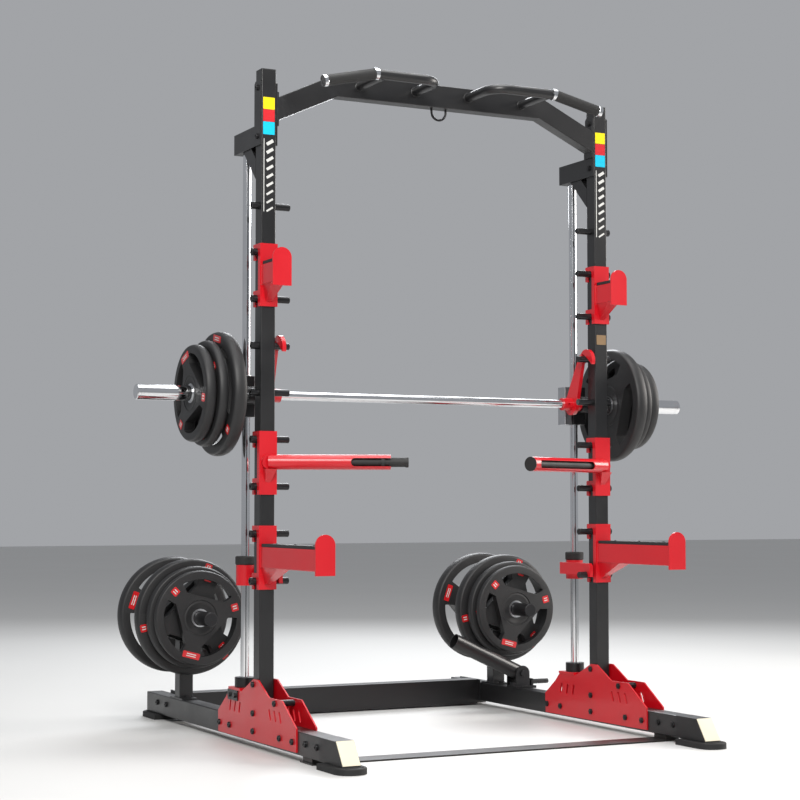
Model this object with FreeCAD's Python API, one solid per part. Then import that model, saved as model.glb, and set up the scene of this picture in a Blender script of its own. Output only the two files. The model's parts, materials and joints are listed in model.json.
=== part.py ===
"""Half rack with a guided bar: two base beams, two uprights with hooking pegs, a pull-up beam,
lift-off brackets and a bar that runs on two guide rods. Millimetres, +Z up, +Y to the back."""
import FreeCAD, Part
import math
import os

V = FreeCAD.Vector
AXES = {"x": V(1, 0, 0), "y": V(0, 1, 0), "z": V(0, 0, 1)}

# Driving dimensions. Y is 0 at the uprights' centre plane and Z is 0 at the floor.
HALF_SPAN = 630.0          # from the middle of the rack to an upright's centre
HEIGHT = 2164.0            # top of the uprights, under their caps
TUBE = 50.0                # square upright tube
WALL = 2.5                 # wall of the square tubes
CORNER = 3.0               # outside corner radius of the tubes
PLATE = 5.0                # laser-cut plate thickness
GAP = 0.3                  # air between a lift-off bracket and what it sits on
FIT = 0.05                 # radial running clearance
BEAM_W = 60.0              # base beam width
BEAM_LOW = 19.0            # underside of the base beams
BEAM_TOP = 89.0            # top face of the base beams
BEAM_FRONT = -497.0        # where the front shoe starts
BEAM_REAR = 1025.0         # rear end of the base beams
SHOE_TOP = -605.0          # top of the shoe's sloping nose
SHOE_TIP = -654.0          # bottom of the shoe's sloping nose
FOOT_R = 50.0              # half width of a rubber foot and radius of its round end
FOOT_FRONT = -690.0        # tip of the front feet
FOOT_REAR = 1060.0         # tip of the rear feet
PEG_PITCH = 150.0
PEG_LOW = 525.0            # height of the lowest peg
PEG_COUNT = 9
PEG_R = 11.0
PEG_IN = 58.0              # how far a peg stands in from the upright
PEG_OUT = 24.0             # how far its head stands out on the other side
PEG_HEAD_R = 12.0
BAR_Y = 93.0
BAR_Z = 1122.0
BAR_R = 14.0
BAR_HALF = 1030.0          # half the bar's length over its sleeves
SLEEVE_R = 25.0
SLEEVE_IN = 690.0          # inner end of a sleeve
ROD_Y = 158.0
ROD_R = 14.0
ROD_LOW = 120.0
ROD_TOP = 1978.0
STORE_Z = 378.0            # height of the plate storage peg
STORE_Y = 725.0            # centre of the storage post
POST_BOLTS = (STORE_Y - 45, STORE_Y + 45)
STORE_R = 24.0             # storage peg radius
HOOK_IN = 53.5             # inner face of the bar hooks, in from an upright's centre
HOOK_T = 13.0              # bar hook thickness
LAND_X = 615.0             # landmine pivot
LAND_Y = 530.0
LAND_Z = 145.0
LAND_TILT = 24.7           # degrees above level
Y_CENTRE = (FOOT_FRONT + FOOT_REAR) / 2


def box(x0, x1, y0, y1, z0, z1):
    """Box between two corners."""
    return Part.makeBox(x1 - x0, y1 - y0, z1 - z0, V(x0, y0, z0))


def rod(axis, x, y, z, radius, length):
    """Cylinder that starts at a point and runs along an axis."""
    return Part.makeCylinder(radius, length, V(x, y, z), AXES[axis])


def pipe(axis, x, y, z, outer, inner, length):
    """Round tube."""
    return rod(axis, x, y, z, outer, length).cut(rod(axis, x, y, z, inner, length))


def between(start, end, radius):
    """Cylinder from one point to another."""
    run = end.sub(start)
    return Part.makeCylinder(radius, run.Length, start, run)


def soften(shape, axis, radius):
    """Rounds the edges that run along an axis."""
    along = AXES[axis]
    edges = [e for e in shape.Edges if abs(e.tangentAt(e.FirstParameter).dot(along)) > 0.999]
    return shape.makeFillet(radius, edges)


def square_tube(axis, x0, x1, y0, y1, z0, z1, wall=WALL):
    """Rectangular tube with rounded corners, open at both ends along its axis."""
    outer = soften(box(x0, x1, y0, y1, z0, z1), axis, CORNER)
    trim = {"x": (0, wall, wall), "y": (wall, 0, wall), "z": (wall, wall, 0)}[axis]
    inner = box(x0 + trim[0], x1 - trim[0], y0 + trim[1], y1 - trim[1], z0 + trim[2], z1 - trim[2])
    return outer.cut(inner)


def prism_yz(points, x0, x1):
    """Plate outlined in Y and Z, between two X positions."""
    wire = Part.makePolygon([V(x0, y, z) for y, z in points + points[:1]])
    return Part.Face(wire).extrude(V(x1 - x0, 0, 0))


def prism_xz(points, y0, y1):
    """Plate outlined in X and Z, between two Y positions."""
    wire = Part.makePolygon([V(x, y0, z) for x, z in points + points[:1]])
    return Part.Face(wire).extrude(V(0, y1 - y0, 0))


def join(*shapes):
    """One solid from touching pieces."""
    whole = shapes[0].multiFuse(list(shapes[1:]))
    return whole.removeSplitter()


def cut(shape, *tools):
    """Shape less every tool."""
    return shape.cut(list(tools))


def hex_head(x, y, z, size, length):
    """Hexagonal head along +X."""
    corner = size / math.sqrt(3)
    turns = [math.radians(60 * i) for i in range(6)]
    outline = [(y + corner * math.cos(t), z + corner * math.sin(t)) for t in turns]
    return prism_yz(outline, x, x + length)


def bolt_x(x0, x1, y, z, radius=6.0, head=9.5, length=7.0):
    """Button-headed bolt and its nut through everything between two X positions."""
    cap = rod("x", x1, y, z, head, length)
    cap = cap.makeFillet(length * 0.45, [e for e in cap.Edges if abs(e.BoundBox.XMin - x1 - length) < 0.01][:1])
    socket = hex_head(x1 + length - 3, y, z, 7.0, 4)
    shank = rod("x", x0 - length, y, z, radius, x1 - x0 + 2 * length - 2)
    nut = hex_head(x0 - length + 2, y, z, 2 * head - 1, length - 2)
    return join(cap.cut(socket), shank.cut(rod("x", x1 + length - 3, y, z, radius + 1, 6)), nut)


def hole_x(x0, x1, y, z, radius=6.2):
    """Cutter for a bolt hole."""
    return rod("x", x0, y, z, radius, x1 - x0)


def mirrored(shape):
    """The left-hand copy of a right-hand piece."""
    return shape.mirror(V(0, 0, 0), V(1, 0, 0))


def save(name, *solids):
    """Writes one sub-part, moved so that Y is 0 in the middle of the footprint."""
    shape = solids[0] if len(solids) == 1 else Part.makeCompound(list(solids))
    shape.translate(V(0, -Y_CENTRE, 0))
    if not shape.isValid() or any(s.Volume <= 0 for s in shape.Solids):
        raise ValueError(name + " isn't a valid solid")
    shape.exportStep("parts/" + name + ".step")


def save_pair(name, shape):
    """Writes a right-hand sub-part and its mirrored left-hand twin."""
    save(name + "_left", mirrored(shape))
    save(name + "_right", shape)


def save_both(name, *shapes):
    """Writes one node that holds the right-hand pieces and their left-hand twins."""
    save(name, *[mirrored(s) for s in shapes], *shapes)


# Base: beams, gusset plates, shoes and feet.

GUSSET = [(-38, 217), (-126, 170), (-227, 170), (-338, 97), (-338, 26), (302, 23), (304, 92), (234, 142), (205, 170),
          (100, 170), (80, 179), (0, 217)]
BEAM_BOLTS = [(0, 54), (200, 54), (290, 54), (-213, 55), (-310, 55)]
OPEN_BOLT = (-173, 156)
UPRIGHT_BOLTS = [(0, 200), (0, 110)]
SHOE_BOLTS = [(-477, 57), (-395, 57)]
REAR_BOLTS = [(822, 60), (914, 60)]
TOP_BOLTS = [(0, 2108), (0, 1950)]
GUSSET_OUT = BEAM_W / 2 + PLATE


def slot_tools(x0, x1):
    """Three slanting slots behind the upright and three in front of it."""
    tools = []
    for first, lean in ((195, 14), (-135, -24)):
        for i in range(3):
            centre = V(0, first - 40 * i, 118)
            slot = join(box(x0, x1, -5, 5, -14, 14), rod("x", x0, 0, -14, 5, x1 - x0), rod("x", x0, 0, 14, 5, x1 - x0))
            slot.rotate(V(0, 0, 0), AXES["x"], lean)
            slot.translate(centre)
            tools.append(slot)
    return tools


def gusset_pair():
    """The outer and inner gusset plates of the right-hand upright."""
    plates = []
    for x0 in (HALF_SPAN - GUSSET_OUT, HALF_SPAN + BEAM_W / 2):
        plate = prism_yz(GUSSET, x0, x0 + PLATE)
        bolts = [hole_x(x0, x0 + PLATE, y, z) for y, z in BEAM_BOLTS + UPRIGHT_BOLTS + [OPEN_BOLT]]
        plates.append(cut(plate, *bolts, *slot_tools(x0 - 1, x0 + PLATE + 1)))
    return plates


def base_beam():
    """One base beam with its bolt holes."""
    beam = square_tube("y", HALF_SPAN - BEAM_W / 2, HALF_SPAN + BEAM_W / 2, BEAM_FRONT, BEAM_REAR,
                       BEAM_LOW, BEAM_TOP)
    across = (HALF_SPAN - BEAM_W, HALF_SPAN + BEAM_W)
    cross = [hole_x(*across, y, z) for y, z in BEAM_BOLTS + SHOE_BOLTS + REAR_BOLTS]
    return cut(beam, *cross, *[rod("z", HALF_SPAN, y, BEAM_TOP - 8, 6.2, 16) for y in POST_BOLTS])


def front_shoe():
    """Cast nose that plugs into the front of a base beam."""
    half = BEAM_W / 2
    nose = prism_yz([(BEAM_FRONT, BEAM_LOW), (BEAM_FRONT, BEAM_TOP), (SHOE_TOP, BEAM_TOP), (SHOE_TIP, BEAM_LOW)],
                    HALF_SPAN - half, HALF_SPAN + half)
    inset = WALL + 0.2
    tongue = box(HALF_SPAN - half + inset, HALF_SPAN + half - inset, BEAM_FRONT - 1, BEAM_FRONT + 125,
                 BEAM_LOW + inset, BEAM_TOP - inset)
    holes = [hole_x(HALF_SPAN - half, HALF_SPAN + half, y, z) for y, z in SHOE_BOLTS]
    core = box(HALF_SPAN - half + 8, HALF_SPAN + half - 8, BEAM_FRONT - 60, BEAM_FRONT + 126,
               BEAM_LOW + 8, BEAM_TOP - 8)
    return cut(join(nose, tongue), core, *holes)


def nose_plate():
    """Pale reflecting plate on the shoe's sloping face."""
    run = SHOE_TIP - SHOE_TOP
    drop = BEAM_TOP - BEAM_LOW
    length = math.hypot(run, drop)
    out = (-drop / length, -run / length)
    edge = [(SHOE_TOP + run * t, BEAM_TOP - drop * t) for t in (0.02, 0.96)]
    lifted = [(y + 3 * out[0], z + 3 * out[1]) for y, z in edge]
    return prism_yz([edge[0], edge[1], lifted[1], lifted[0]], HALF_SPAN - 28, HALF_SPAN + 28)


def foot(y_round, direction):
    """Rubber foot with one round end, under the end of a base beam."""
    y_flat = y_round - direction * 120
    low, high = sorted((y_flat, y_round))
    pad = join(box(HALF_SPAN - FOOT_R, HALF_SPAN + FOOT_R, low, high, 0, BEAM_LOW),
               rod("z", HALF_SPAN, y_round, 0, FOOT_R, BEAM_LOW))
    rim = [e for e in pad.Edges if e.BoundBox.ZMin > BEAM_LOW - 0.1]
    return pad.makeFillet(4, rim)


def floor_strip():
    """Flat tie bar on the floor between the front feet."""
    reach = HALF_SPAN + BEAM_W / 2
    return box(-reach, reach, -445, -355, 0, 5)


def strip_spacer():
    """Block between the tie bar and a base beam."""
    return box(HALF_SPAN - 25, HALF_SPAN + 25, -434, -366, 5, BEAM_LOW)


def rear_cross_beam():
    """Deep cross beam with a bolting flange at each end."""
    inner = HALF_SPAN - BEAM_W / 2
    beam = square_tube("x", -inner + PLATE, inner - PLATE, 805, 875, 6, 99)
    flange = cut(box(inner - PLATE, inner, 790, 945, BEAM_LOW + 1, 99),
                 *[hole_x(inner - PLATE, inner, y, z) for y, z in REAR_BOLTS],
                 box(inner - PLATE, inner, 825, 850, 30, 75).translated(V(0, 12, 0)))
    return join(beam, flange, mirrored(flange))


# Uprights, pegs, guide rods and the parts that hold them.

def peg_heights():
    """Heights of the pegs, from the bottom."""
    return [PEG_LOW + PEG_PITCH * i for i in range(PEG_COUNT)]


def upright():
    """Square upright with cross holes for its pegs and bolts."""
    half = TUBE / 2
    post = square_tube("z", HALF_SPAN - half, HALF_SPAN + half, -half, half, BEAM_TOP, HEIGHT)
    across = (HALF_SPAN - TUBE, HALF_SPAN + TUBE)
    holes = [hole_x(*across, 0, z, PEG_R) for z in peg_heights()]
    return cut(post, *holes, *[hole_x(*across, y, z) for y, z in UPRIGHT_BOLTS + TOP_BOLTS])


def peg(z):
    """Round peg through an upright: a long plain end inside, a socket head outside."""
    start = HALF_SPAN - TUBE / 2 - PEG_IN
    end = HALF_SPAN + TUBE / 2 + PEG_OUT
    shank = rod("x", start, 0, z, PEG_R, end - start)
    shank = shank.makeChamfer(1.5, [e for e in shank.Edges if e.BoundBox.XMax < start + 1][:1])
    head = rod("x", HALF_SPAN + TUBE / 2, 0, z, PEG_HEAD_R, PEG_OUT)
    head = head.makeChamfer(1.5, [e for e in head.Edges if e.BoundBox.XMin > end - 0.1][:1])
    return join(shank, head).cut(hex_head(end - 8, 0, z, 10, 9))


def tube_cap(x0, x1, y0, y1, z0, z1):
    """Flat plastic cap on the end of a tube."""
    return soften(box(x0, x1, y0, y1, z0, z1), "z" if z1 - z0 < 10 else "y", CORNER)


def top_bracket():
    """Arm behind an upright that holds the top of a guide rod."""
    half = TUBE / 2
    pieces = []
    for x0 in (HALF_SPAN - half - PLATE, HALF_SPAN + half):
        outline = [(-25, 1920), (199, 1920), (199, 1986), (25, 1986), (25, 2122), (17, 2130), (-17, 2130), (-25, 2122)]
        pieces.append(prism_yz(outline, x0, x0 + PLATE))
    inside = (HALF_SPAN - half, HALF_SPAN + half)
    pieces.append(box(*inside, half, 199, 1920, 1925))
    pieces.append(box(*inside, half, 199, 1981, 1986))
    pieces.append(box(*inside, 194, 199, 1920, 1986))
    brace = prism_yz([(half, 1816), (half, 1882), (63, 1920), (131, 1920)], HALF_SPAN - 25, HALF_SPAN + 25)
    holes = [hole_x(HALF_SPAN - 40, HALF_SPAN + 40, y, z) for y, z in TOP_BOLTS]
    return cut(join(*pieces, brace), *holes, rod("z", HALF_SPAN, ROD_Y, 1900, ROD_R, 78))


def guide_rod():
    """Hard chrome guide rod."""
    return rod("z", HALF_SPAN, ROD_Y, ROD_LOW, ROD_R, ROD_TOP - ROD_LOW)


def rod_seat():
    """Red seat plate between the gussets, under the rod clamp."""
    half = BEAM_W / 2
    plate = box(HALF_SPAN - half - 8, HALF_SPAN + half + 8, 108, 206, 170, 178)
    return cut(plate, rod("z", HALF_SPAN, ROD_Y, 160, ROD_R, 30))


def rod_clamp():
    """Black collar and block that grip the lower end of a guide rod."""
    half = BEAM_W / 2
    collar = rod("z", HALF_SPAN, ROD_Y, 178, 32.5, 32)
    collar = collar.makeFillet(2, [e for e in collar.Edges if e.BoundBox.ZMin > 209])
    hole = rod("z", HALF_SPAN, ROD_Y, 100, ROD_R, 120)
    block = box(HALF_SPAN - half, HALF_SPAN + half, 128, 200, 120, 170)
    lug = box(HALF_SPAN + GUSSET_OUT, HALF_SPAN + GUSSET_OUT + 4, 128, 209, 137, 170)
    heads = [hex_head(HALF_SPAN + GUSSET_OUT + 4, y, 153, 14, 6) for y in (146, 190)]
    return [cut(collar, hole), cut(block, hole), join(lug, *heads)]


def pull_up_beam():
    """Deep beam between the uprights: level in the middle, falling to each end."""
    end = HALF_SPAN - TUBE / 2 - PLATE
    low_end, low_mid, depth = 2002.5, 2102, 75
    low = [(-end, low_end), (-385, low_mid), (385, low_mid), (end, low_end)]
    high = [(end, low_end + depth), (388, low_mid + depth), (-388, low_mid + depth), (-end, low_end + depth)]
    outer = prism_xz(low + high, -25, 25)
    outer = outer.makeFillet(CORNER, [e for e in outer.Edges if e.BoundBox.YLength < 0.01 and e.BoundBox.XLength > 50])
    wall = 3
    low_in = [(x, z + wall) for x, z in low]
    high_in = [(x, z - wall) for x, z in high]
    hollow = prism_xz(low_in + high_in, -25 + wall, 25 - wall)
    plate = box(end - PLATE, end, -25, 25, 1985, 2095)
    window = box(end - PLATE, end, -15, 15, 2025, 2055)
    plate = plate.cut(window)
    return join(outer.cut(hollow), plate, mirrored(plate))


HANDLE_Z = 2145.0
HANDLE_Y = -200.0
HANDLE_R = 16.0
RING_X = 332.0
GRIP_END = V(505, HANDLE_Y, 2106)


def pull_up_handle():
    """Bent tube from the beam to the grip, with a strut back to the beam."""
    bend = 60.0
    corner = V(100, HANDLE_Y, HANDLE_Z)
    first = V(100, -25, HANDLE_Z)
    start = V(100, HANDLE_Y + bend, HANDLE_Z)
    centre = V(100 + bend, HANDLE_Y + bend, HANDLE_Z)
    middle = centre.sub(V(bend, bend, 0).multiply(math.sqrt(0.5)))
    finish = V(corner.x + bend, HANDLE_Y, HANDLE_Z)
    path = Part.Wire([Part.makeLine(first, start), Part.Arc(start, middle, finish).toShape(),
                      Part.makeLine(finish, V(RING_X - 7, HANDLE_Y, HANDLE_Z))])
    section = Part.Wire(Part.makeCircle(HANDLE_R, first, V(0, 1, 0)))
    tube = path.makePipeShell([section], True, False)
    tube = Part.Solid(tube) if tube.ShapeType == "Shell" else tube
    strut = between(V(308, -25, HANDLE_Z - 4), V(308, HANDLE_Y, HANDLE_Z - 4), 14)
    return join(tube, strut)


def grip_frame():
    """Start and run of the slanting grip."""
    start = V(RING_X + 7, HANDLE_Y, HANDLE_Z - 1)
    return start, GRIP_END.sub(start)


def pull_up_grip():
    """Rubber grip that slants down and out from the ring joint."""
    start, run = grip_frame()
    return Part.makeCylinder(18, run.Length, start, run)


def grip_rings():
    """Chrome ring at the elbow joint and chrome cap at the grip's end."""
    start, run = grip_frame()
    beyond = Part.makeCylinder(60, 60, start, run)
    joint = cut(rod("x", RING_X - 7, HANDLE_Y, HANDLE_Z, 19, 24), beyond)
    cap = Part.makeCylinder(19, 14, GRIP_END, run)
    cap = cap.makeFillet(3, [e for e in cap.Edges if e.BoundBox.DiagonalLength > 30][-1:])
    return [joint, cap]


def anchor_loop():
    """U-shaped loop under the middle of the pull-up beam."""
    reach, wire, drop = 27.0, 4.0, 2091.0
    legs = [rod("z", side * reach, 0, drop, wire, 2102 - drop) for side in (-1, 1)]
    bow = Part.makeTorus(reach, wire, V(0, 0, drop), V(0, 1, 0))
    bow = bow.cut(box(-50, 50, -20, 20, drop, drop + 60))
    return join(*legs, bow)


# Brackets that hang on the pegs.

BRACKET_IN = TUBE / 2 + GAP
BRACKET_OUT = BRACKET_IN + PLATE


def bracket(peg_low):
    """U-shaped bracket whose four hooks drop over two pegs of the right-hand upright."""
    low, high = peg_low - 26, peg_low + PEG_PITCH + 26
    front = box(HALF_SPAN - BRACKET_OUT, HALF_SPAN + BRACKET_OUT, -BRACKET_OUT, -BRACKET_IN, low, high)
    pieces = [front]
    slot = PEG_R + 1.5
    for x0 in (HALF_SPAN - BRACKET_OUT, HALF_SPAN + BRACKET_IN):
        side = box(x0, x0 + PLATE, -BRACKET_OUT, -slot, low, high)
        for z in (peg_low, peg_low + PEG_PITCH):
            hook = box(x0, x0 + PLATE, -BRACKET_OUT, 28, z - 26, z + 26)
            hook = soften(hook, "x", 4)
            mouth = box(x0, x0 + PLATE, -slot, slot, z - 26, z)
            side = join(side, cut(hook, mouth, rod("x", x0, 0, z, slot, PLATE)))
        pieces.append(side)
    return join(*pieces)


def lip(y, tube_low, tube_high):
    """Upright end plate with a round top."""
    radius = 32.0
    low, high = tube_low - 12, tube_high + 44
    plate = join(box(HALF_SPAN - radius, HALF_SPAN + radius, y - 6, y, low, high - radius),
                 rod("y", HALF_SPAN, y - 6, high - radius, radius, 6))
    return plate


def wedge(top, drop, run, wide):
    """Tapered wedge under an arm, wide at the arm and narrow at its foot."""
    side = prism_yz([(-BRACKET_OUT, top), (-BRACKET_OUT - run, top), (-BRACKET_OUT, top - drop)],
                    HALF_SPAN - wide, HALF_SPAN + wide)
    face = prism_xz([(HALF_SPAN - wide, top), (HALF_SPAN + wide, top), (HALF_SPAN + 9, top - drop),
                     (HALF_SPAN - 9, top - drop)], -BRACKET_OUT - run, -BRACKET_OUT)
    return side.common(face)


def rest(peg_low, tube_low, tube_high, reach, rib):
    """Bracket with a square tube forward, an end lip and a wedge underneath."""
    arm = square_tube("y", HALF_SPAN - 25, HALF_SPAN + 25, -reach, -BRACKET_OUT, tube_low, tube_high, 3)
    under = wedge(tube_low + 1, 55, rib, 23)
    return join(bracket(peg_low), arm, lip(-reach, tube_low, tube_high), under)


def rest_pad(tube_high, reach):
    """Wear strip on top of the tube."""
    pad = box(HALF_SPAN - 24, HALF_SPAN + 24, -reach + 0.5, -BRACKET_OUT - 3, tube_high, tube_high + 10)
    return soften(pad, "z", 4)


DIP_ROOT = V(HALF_SPAN, -31, 902)
DIP_WAY = V(-412, -176, 0).normalize()
DIP_R = 24.0
DIP_LEFT = (389, 446, 262, 420)    # tube, tube and grip, window from, window to
DIP_RIGHT = (425, 428, 82, 400)
DIP_WALL = 3.0


def dip_rod(start, length, radius):
    """Cylinder on the dip handle's axis."""
    return Part.makeCylinder(radius, length, DIP_ROOT.add(V(DIP_WAY).multiply(start)), DIP_WAY)


def dip_window(start, length):
    """Cutter for the long opening in the front of the tube."""
    slot = soften(box(start, start + length, -DIP_R - 5, -DIP_R / 2, -13, 13), "y", 12.5)
    slot.rotate(V(0, 0, 0), AXES["z"], 180 + math.degrees(math.atan2(-DIP_WAY.y, -DIP_WAY.x)))
    slot = slot.mirror(V(0, 0, 0), V(DIP_WAY.y, -DIP_WAY.x, 0))
    slot.translate(DIP_ROOT)
    return slot


def dip_handle(tube_end, total, window_start, window_end):
    """Bracket with a thick tube that angles forward and inward, open in front over its grip."""
    root = rod("y", HALF_SPAN, -BRACKET_OUT - 12, DIP_ROOT.z, DIP_R, 12)
    tube = dip_rod(0, tube_end, DIP_R).cut(box(HALF_SPAN - 60, HALF_SPAN + 60, -BRACKET_OUT, 60, 850, 950))
    under = wedge(880, 42, 26, 20)
    arm = join(root, tube, under).cut(dip_rod(30, total, DIP_R - DIP_WALL))
    window = dip_window(window_start, window_end - window_start)
    return join(bracket(825), arm).cut(window)


def dip_grip(tube_end, total, cap_radius):
    """Black grip inside the dip tube, with collars in the tube and a cap at its free end."""
    core = dip_rod(34, total - 34, 15)
    collars = [dip_rod(at, 10, DIP_R - DIP_WALL) for at in (34, tube_end - 30)]
    cap = dip_rod(max(tube_end, total - 9), min(9, total - tube_end), cap_radius)
    return join(core, cap, *collars)


# Guided bar: carriages on the rods, the bar, its hooks, sleeves and plates.

def carriage():
    """Aluminium block bolted to the inner side of the carriage."""
    block = box(HALF_SPAN - 50, HALF_SPAN - 20, 136, 184, BAR_Z - 69, BAR_Z + 64)
    return soften(block, "z", 3)


def bearing(z):
    """Linear bearing inside a carriage."""
    return pipe("z", HALF_SPAN, ROD_Y, z, 19, ROD_R + FIT, 58)


def bar_housing():
    """Black body round the guide rod that reaches forward to the bar."""
    body = soften(box(HALF_SPAN - 20, HALF_SPAN + 32, 128, 190, BAR_Z - 69, BAR_Z + 64), "z", 5)
    nose = box(HALF_SPAN - 17, HALF_SPAN + 28, BAR_Y, 130, BAR_Z - 28, BAR_Z + 28)
    ring = rod("x", HALF_SPAN - 17, BAR_Y, BAR_Z, 28, 45)
    bore = rod("x", HALF_SPAN - 25, BAR_Y, BAR_Z, BAR_R + FIT, 60)
    return join(body, nose, ring).cut([bore, rod("z", HALF_SPAN, ROD_Y, BAR_Z - 100, 19, 200)])


def bar_shaft():
    """Chromed bar from one sleeve to the other."""
    return rod("x", -BAR_HALF + 16, BAR_Y, BAR_Z, BAR_R, 2 * BAR_HALF - 32)


HOOK_SWEEP_IN = 168.0      # the mouth lies between two circles round the bar's axis
HOOK_SWEEP_OUT = 190.5
HOOK_ARCH = (-7.6, 1268.6)
HOOK_ARCH_R = 41.0
HOOK_LOBE_R = 38.0


def bar_hook():
    """Plate fixed to the bar: a tapered arm that arches over a peg and frees it by turning."""
    x0 = HALF_SPAN - HOOK_IN
    peg_z = PEG_LOW + 5 * PEG_PITCH
    lobe = rod("x", x0, BAR_Y, BAR_Z, HOOK_LOBE_R, HOOK_T)
    arch = rod("x", x0, *HOOK_ARCH, HOOK_ARCH_R, HOOK_T)
    arm = prism_yz([(123, 1140), (55, 1125), (17, 1263), (HOOK_ARCH[0], 1309.5), (34, 1290), (50, 1265)],
                   x0, x0 + HOOK_T)
    sweep = pipe("x", x0 - 1, BAR_Y, BAR_Z, HOOK_SWEEP_OUT, HOOK_SWEEP_IN, HOOK_T + 2)
    front = prism_yz([(17, peg_z + 60), (17, 1100), (-90, 1100), (-90, peg_z + 60)], x0 - 1, x0 + HOOK_T + 1)
    below = prism_yz([(17, 1263), (-90, 1250), (-90, 1150), (44, 1150)], x0 - 1, x0 + HOOK_T + 1)
    under_peg = box(x0 - 1, x0 + HOOK_T + 1, -PEG_R - 1, PEG_R + 1, 1150, peg_z)
    hook = cut(join(lobe, arch, arm), sweep.common(front), below, under_peg)
    return hook.cut(rod("x", x0 - 1, BAR_Y, BAR_Z, BAR_R, HOOK_T + 2))


def hook_collar():
    """Two set collars that clamp the hook on the bar."""
    collars = []
    for x0, x1 in ((HALF_SPAN - 90, HALF_SPAN - HOOK_IN), (HALF_SPAN - HOOK_IN + HOOK_T, HALF_SPAN - 18)):
        collar = pipe("x", x0, BAR_Y, BAR_Z, 22, BAR_R, x1 - x0)
        hole = rod("y", (x0 + x1) / 2, BAR_Y - 30, BAR_Z, 3.5, 30 - BAR_R)
        collars.append(collar.cut(hole))
    return collars


def sleeve():
    """Plate sleeve that spins on the end of the bar."""
    length = BAR_HALF - SLEEVE_IN
    body = rod("x", SLEEVE_IN, BAR_Y, BAR_Z, SLEEVE_R, length)
    body = body.makeChamfer(2.5, [e for e in body.Edges if abs(e.BoundBox.XMin - BAR_HALF) < 0.01][:1])
    flange = rod("x", SLEEVE_IN + 25, BAR_Y, BAR_Z, 31, 13)
    bore = rod("x", SLEEVE_IN - 1, BAR_Y, BAR_Z, BAR_R + FIT, length - 13)
    return join(body, flange).cut(bore)


PLATE_TURN = 15.0          # degrees from level to the first corner of a plate's hub


def plate_blank(radius, thickness):
    """Weight plate round the Y axis from Y 0: round rim, three-cornered hub and three hand openings."""
    disc = rod("y", 0, 0, 0, radius, thickness)
    disc = disc.makeFillet(thickness * 0.30, [e for e in disc.Edges if e.BoundBox.YLength < 0.01])
    chord, rim_in = radius * 0.46, radius * 0.85
    spread = math.tan(math.radians(41))
    outline = [(chord, -chord * spread), (chord, chord * spread), (radius, radius * spread), (radius, -radius * spread)]
    opening = rod("y", 0, -1, 0, rim_in, thickness + 2).common(prism_xz(outline, -1, thickness + 1))
    opening = soften(opening, "y", radius * 0.05)
    for i in range(3):
        turned = opening.copy()
        turned.rotate(V(0, 0, 0), AXES["y"], 120 * i + 60 - PLATE_TURN)
        disc = disc.cut(turned)
    for y in (-1, thickness - 4):
        disc = disc.cut(rod("y", 0, y, 0, radius * 0.36, 5).cut(rod("y", 0, y, 0, 34, 5)))
    return disc.cut(rod("y", 0, -1, 0, 25.5, thickness + 2))


BAR_PLATES = [(200, 729, 43), (170, 780, 31), (156, 816, 34)]
STORED_PLATES = [(163, 564, 26), (177, 600, 34), (202, 645, 44)]
REAR_PLATE = (205, 817, 50)


def bar_plate(radius, x0, thickness):
    """Plate on a bar sleeve, with its outer face away from the rack."""
    plate = plate_blank(radius, thickness)
    plate.rotate(V(0, 0, 0), AXES["z"], -90)
    plate.translate(V(x0, BAR_Y, BAR_Z))
    return plate


def stored_plate(radius, y0, thickness):
    """Plate on a storage peg."""
    plate = plate_blank(radius, thickness)
    plate.translate(V(HALF_SPAN, y0, STORE_Z))
    return plate


def stop():
    """Adjustable stop: a sleeve on the guide rod with a hook on the lowest peg."""
    sleeve_low, sleeve_high = 506, 572
    ring = rod("z", HALF_SPAN, ROD_Y, sleeve_low, 30, sleeve_high - sleeve_low)
    x0 = HALF_SPAN - HOOK_IN
    outline = [(ROD_Y + 12, 524), (ROD_Y + 12, 565), (-18, 565), (-27, 556), (-27, 518), (-13, 518), (-13, 524)]
    plate = prism_yz(outline, x0, x0 + HOOK_T)
    notch = join(rod("x", x0, 0, PEG_LOW, PEG_R + 1, HOOK_T), box(x0, x0 + HOOK_T, -PEG_R - 1, PEG_R + 1, 500, PEG_LOW))
    link = box(x0, HALF_SPAN, ROD_Y - 14, ROD_Y + 12, 524, 565)
    return join(ring, link, plate.cut(notch)).cut(rod("z", HALF_SPAN, ROD_Y, 500, ROD_R + FIT, 90))


def stop_bumper():
    """Rubber ring on top of a stop."""
    ring = rod("z", HALF_SPAN, ROD_Y, 572, 32.5, 29)
    ring = ring.makeFillet(5, [e for e in ring.Edges if e.BoundBox.ZLength < 0.01])
    return ring.cut(rod("z", HALF_SPAN, ROD_Y, 560, ROD_R + 0.6, 60))


# Plate storage and landmine.

def storage_post():
    """Square post on the rear of a base beam."""
    top = STORE_Z + 50
    post = square_tube("z", HALF_SPAN - 25, HALF_SPAN + 25, STORE_Y - 25, STORE_Y + 25, BEAM_TOP, top)
    flange = box(HALF_SPAN - 29, HALF_SPAN + 29, STORE_Y - 60, STORE_Y + 60, BEAM_TOP, BEAM_TOP + 5)
    holes = [rod("z", HALF_SPAN, y, BEAM_TOP - 1, 6.2, 10) for y in POST_BOLTS]
    return cut(join(post, flange), *holes, rod("y", HALF_SPAN, STORE_Y - 60, STORE_Z, STORE_R, 120))


def storage_peg():
    """Round peg through the storage post, with a stop flange on each side."""
    body = rod("y", HALF_SPAN, 462, STORE_Z, STORE_R, 438)
    body = body.makeChamfer(2, [e for e in body.Edges if e.BoundBox.YLength < 0.01])
    flanges = [rod("y", HALF_SPAN, y, STORE_Z, 34, 8) for y in (692, 750)]
    return join(body, *flanges)


LAND_FOOT = 9.0            # thickness of the plate under the yoke


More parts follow.
